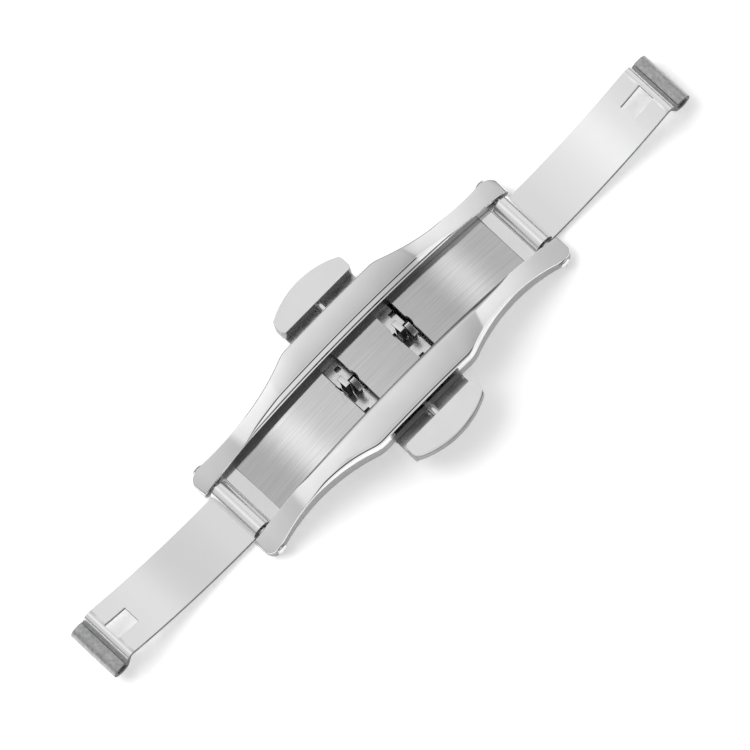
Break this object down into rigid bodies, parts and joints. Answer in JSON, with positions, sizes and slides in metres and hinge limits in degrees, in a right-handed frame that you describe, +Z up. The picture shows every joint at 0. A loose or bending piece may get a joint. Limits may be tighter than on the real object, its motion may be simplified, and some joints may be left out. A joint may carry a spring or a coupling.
{
  "type": "butterfly clasp",
  "caption": "Butterfly clasp for a watch strap: blades with spring bar tubes fold in between the rails of a curved base and are held by hooks on sprung side push buttons.",
  "frame": {"origin": "middle of the clasp on the table it lies on: centre of the bounding box in X and Y, bottom of the rail ends in Z", "axes": "+X along the strap, towards the right-hand blade; +Y across the strap, towards the back push button; +Z up, away from the wrist"},
  "size_m": [0.0866, 0.0242, 0.0073],
  "materials": {
    "polished": "mirror polished stainless steel",
    "brushed": "stainless steel brushed along the strap",
    "plain": "plain stainless steel, as stamped or turned",
    "spring_wire": "bright spring wire"
  },
  "bodies": {
    "base": {"rail_front": "polished", "rail_back": "polished", "deck_left": "brushed", "deck_middle": "brushed", "deck_right": "brushed", "end_bar_left": "polished", "end_bar_right": "polished", "tray": "polished", "hinge_pin_left": "plain", "hinge_pin_right": "plain", "stop_pin_front": "plain", "stop_pin_back": "plain", "spring_left": "spring_wire", "spring_right": "spring_wire"},
    "blade_left": {"blade_left": "polished"},
    "blade_right": {"blade_right": "polished"},
    "latch_front": {"slide_front": "plain", "button_front": "polished", "stem_front": "plain"},
    "latch_back": {"slide_back": "plain", "button_back": "polished", "stem_back": "plain"}
  },
  "joints": [
    {"name": "blade_left_hinge", "type": "hinge", "parent": "base", "child": "blade_left", "pos_m": [-0.0213, 0, 0.0013], "axis": [0, 1, 0], "range_deg": [0, 162.4]},
    {"name": "blade_right_hinge", "type": "hinge", "parent": "base", "child": "blade_right", "pos_m": [0.0213, 0, 0.0013], "axis": [0, -1, 0], "range_deg": [0, 162.4]},
    {"name": "button_back_slide", "type": "slide", "parent": "base", "child": "latch_back", "axis": [0, -1, 0], "range_m": [0, 0.0005], "stiffness_N_per_m": 400, "springref_m": -0.001, "deforming": ["spring_left", "spring_right"]},
    {"name": "button_front_slide", "type": "slide", "parent": "base", "child": "latch_front", "axis": [0, 1, 0], "range_m": [0, 0.0005], "stiffness_N_per_m": 400, "springref_m": -0.001, "deforming": ["spring_left", "spring_right"]}
  ]
}
